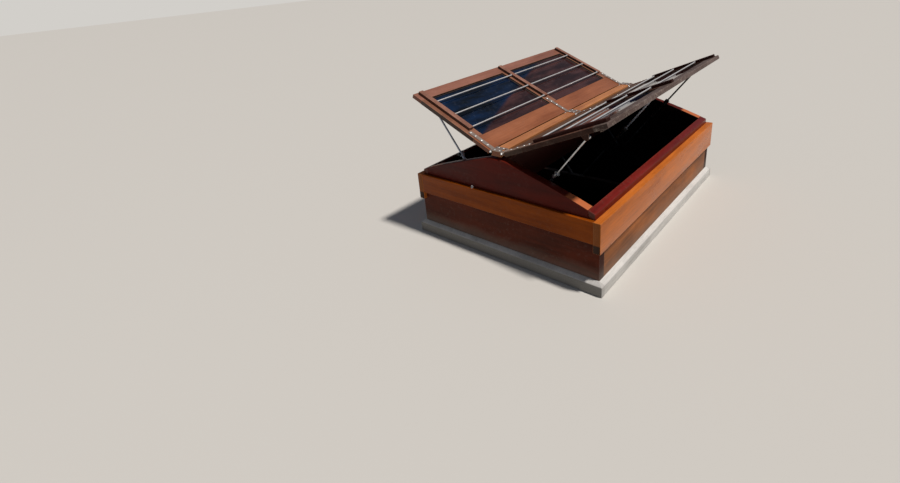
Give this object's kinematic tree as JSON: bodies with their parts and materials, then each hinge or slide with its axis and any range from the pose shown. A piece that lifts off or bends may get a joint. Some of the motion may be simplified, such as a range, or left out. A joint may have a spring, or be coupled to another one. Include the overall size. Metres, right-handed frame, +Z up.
{
  "type": "deck skylight",
  "caption": "Low timber deck skylight: a moulded and banded coaming with gabled ends and two glazed lids hinged at the ridge, propped open on telescopic stays.",
  "frame": {"origin": "centre of the base, at the height of its flat underside", "axes": "+X across the skylight, towards its right lid; +Y along the ridge, from the front gable to the rear one; +Z up"},
  "size_m": [1.026, 1.43, 0.7483],
  "materials": {
    "moulding": "weathered, matt",
    "coaming": "dark varnish",
    "band": "bright varnish",
    "gable": "dark varnish",
    "sill": "red-brown varnish",
    "ridge": "varnish",
    "lid_left": "worn varnish",
    "lid_right": "weathered varnish",
    "bearer": "worn varnish",
    "glass": "dark tinted, glossy",
    "rod": "brushed",
    "steel": "polished stainless"
  },
  "bodies": {
    "coaming": {"moulding": "moulding", "coaming_front": "coaming", "coaming_rear": "coaming", "coaming_sides": "coaming", "band_front": "band", "band_rear": "band", "band_left": "band", "band_right": "band", "gable_front": "gable", "gable_rear": "gable", "sill_right": "sill", "sill_left": "sill", "ridge_beam": "ridge", "ridge_hinge_1": "steel", "ridge_hinge_2": "steel", "ridge_hinge_3": "steel"},
    "lid_left": {"lid_left_rail_outer": "lid_left", "lid_left_rail_inner": "lid_left", "lid_left_stile_mid": "lid_left", "lid_left_stile_front": "lid_left", "lid_left_stile_rear": "lid_left", "lid_left_pane_front": "glass", "lid_left_pane_rear": "glass", "lid_left_bearer_1": "bearer", "lid_left_bearer_2": "bearer", "lid_left_bearer_3": "bearer", "lid_left_strap_1": "steel", "lid_left_strap_2": "steel", "lid_left_strap_3": "steel", "lid_left_rod_1": "rod", "lid_left_rod_2": "rod", "lid_left_rod_3": "rod"},
    "lid_right": {"lid_right_rail_outer": "lid_right", "lid_right_rail_inner": "lid_right", "lid_right_stile_mid": "lid_right", "lid_right_stile_front": "lid_right", "lid_right_stile_rear": "lid_right", "lid_right_pane_front": "glass", "lid_right_pane_rear": "glass", "lid_right_bearer_1": "bearer", "lid_right_bearer_2": "bearer", "lid_right_bearer_3": "bearer", "lid_right_strap_1": "steel", "lid_right_strap_2": "steel", "lid_right_strap_3": "steel", "lid_right_rod_1": "rod", "lid_right_rod_2": "rod", "lid_right_rod_3": "rod"},
    "stay_tube_left_front": {"stay_tube_left_front": "steel"},
    "stay_rod_left_front": {"stay_rod_left_front": "steel"},
    "stay_tube_left_mid": {"stay_tube_left_mid": "steel"},
    "stay_rod_left_mid": {"stay_rod_left_mid": "steel"},
    "stay_tube_left_rear": {"stay_tube_left_rear": "steel"},
    "stay_rod_left_rear": {"stay_rod_left_rear": "steel"},
    "stay_tube_right_front": {"stay_tube_right_front": "steel"},
    "stay_rod_right_front": {"stay_rod_right_front": "steel"},
    "stay_tube_right_mid": {"stay_tube_right_mid": "steel"},
    "stay_rod_right_mid": {"stay_rod_right_mid": "steel"},
    "stay_tube_right_rear": {"stay_tube_right_rear": "steel"},
    "stay_rod_right_rear": {"stay_rod_right_rear": "steel"}
  },
  "joints": [
    {"name": "lid_left_hinge", "type": "hinge", "parent": "coaming", "child": "lid_left", "pos_m": [-0.03, 0, 0.524], "axis": [0, 1, 0], "range_deg": [-41.5, 0]},
    {"name": "lid_right_hinge", "type": "hinge", "parent": "coaming", "child": "lid_right", "pos_m": [0.03, 0, 0.524], "axis": [0, -1, 0], "range_deg": [-39.5, 0]},
    {"name": "stay_tube_left_front_pivot", "type": "hinge", "parent": "coaming", "child": "stay_tube_left_front", "pos_m": [-0.02321, -0.628, 0.135], "axis": [0, 1, 0], "range_deg": [-20.76, 0]},
    {"name": "stay_rod_left_front_slide", "type": "slide", "parent": "stay_tube_left_front", "child": "stay_rod_left_front", "axis": [-0.5871, 0, 0.8095], "range_m": [-0.1995, 0]},
    {"name": "stay_tube_left_mid_pivot", "type": "hinge", "parent": "coaming", "child": "stay_tube_left_mid", "pos_m": [-0.02321, 0.042, 0.135], "axis": [0, 1, 0], "range_deg": [-20.76, 0]},
    {"name": "stay_rod_left_mid_slide", "type": "slide", "parent": "stay_tube_left_mid", "child": "stay_rod_left_mid", "axis": [-0.5871, 0, 0.8095], "range_m": [-0.1995, 0]},
    {"name": "stay_tube_left_rear_pivot", "type": "hinge", "parent": "coaming", "child": "stay_tube_left_rear", "pos_m": [-0.02321, 0.628, 0.135], "axis": [0, 1, 0], "range_deg": [-20.76, 0]},
    {"name": "stay_rod_left_rear_slide", "type": "slide", "parent": "stay_tube_left_rear", "child": "stay_rod_left_rear", "axis": [-0.5871, 0, 0.8095], "range_m": [-0.1995, 0]},
    {"name": "stay_tube_right_front_pivot", "type": "hinge", "parent": "coaming", "child": "stay_tube_right_front", "pos_m": [0.02321, -0.628, 0.135], "axis": [0, -1, 0], "range_deg": [-19.76, 0]},
    {"name": "stay_rod_right_front_slide", "type": "slide", "parent": "stay_tube_right_front", "child": "stay_rod_right_front", "axis": [0.6011, 0, 0.7992], "range_m": [-0.19162, 0]},
    {"name": "stay_tube_right_mid_pivot", "type": "hinge", "parent": "coaming", "child": "stay_tube_right_mid", "pos_m": [0.02321, 0.042, 0.135], "axis": [0, -1, 0], "range_deg": [-19.76, 0]},
    {"name": "stay_rod_right_mid_slide", "type": "slide", "parent": "stay_tube_right_mid", "child": "stay_rod_right_mid", "axis": [0.6011, 0, 0.7992], "range_m": [-0.19162, 0]},
    {"name": "stay_tube_right_rear_pivot", "type": "hinge", "parent": "coaming", "child": "stay_tube_right_rear", "pos_m": [0.02321, 0.628, 0.135], "axis": [0, -1, 0], "range_deg": [-19.76, 0]},
    {"name": "stay_rod_right_rear_slide", "type": "slide", "parent": "stay_tube_right_rear", "child": "stay_rod_right_rear", "axis": [0.6011, 0, 0.7992], "range_m": [-0.19162, 0]}
  ],
  "couplings": [
    {"joint": "stay_tube_left_front_pivot", "follows": "lid_left_hinge", "ratio": 0.5},
    {"joint": "stay_rod_left_front_slide", "follows": "lid_left_hinge", "m_per_rad": 0.27516},
    {"joint": "stay_tube_left_mid_pivot", "follows": "lid_left_hinge", "ratio": 0.5},
    {"joint": "stay_rod_left_mid_slide", "follows": "lid_left_hinge", "m_per_rad": 0.27516},
    {"joint": "stay_tube_left_rear_pivot", "follows": "lid_left_hinge", "ratio": 0.5},
    {"joint": "stay_rod_left_rear_slide", "follows": "lid_left_hinge", "m_per_rad": 0.27516},
    {"joint": "stay_tube_right_front_pivot", "follows": "lid_right_hinge", "ratio": 0.5},
    {"joint": "stay_rod_right_front_slide", "follows": "lid_right_hinge", "m_per_rad": 0.27766},
    {"joint": "stay_tube_right_mid_pivot", "follows": "lid_right_hinge", "ratio": 0.5},
    {"joint": "stay_rod_right_mid_slide", "follows": "lid_right_hinge", "m_per_rad": 0.27766},
    {"joint": "stay_tube_right_rear_pivot", "follows": "lid_right_hinge", "ratio": 0.5},
    {"joint": "stay_rod_right_rear_slide", "follows": "lid_right_hinge", "m_per_rad": 0.27766}
  ]
}
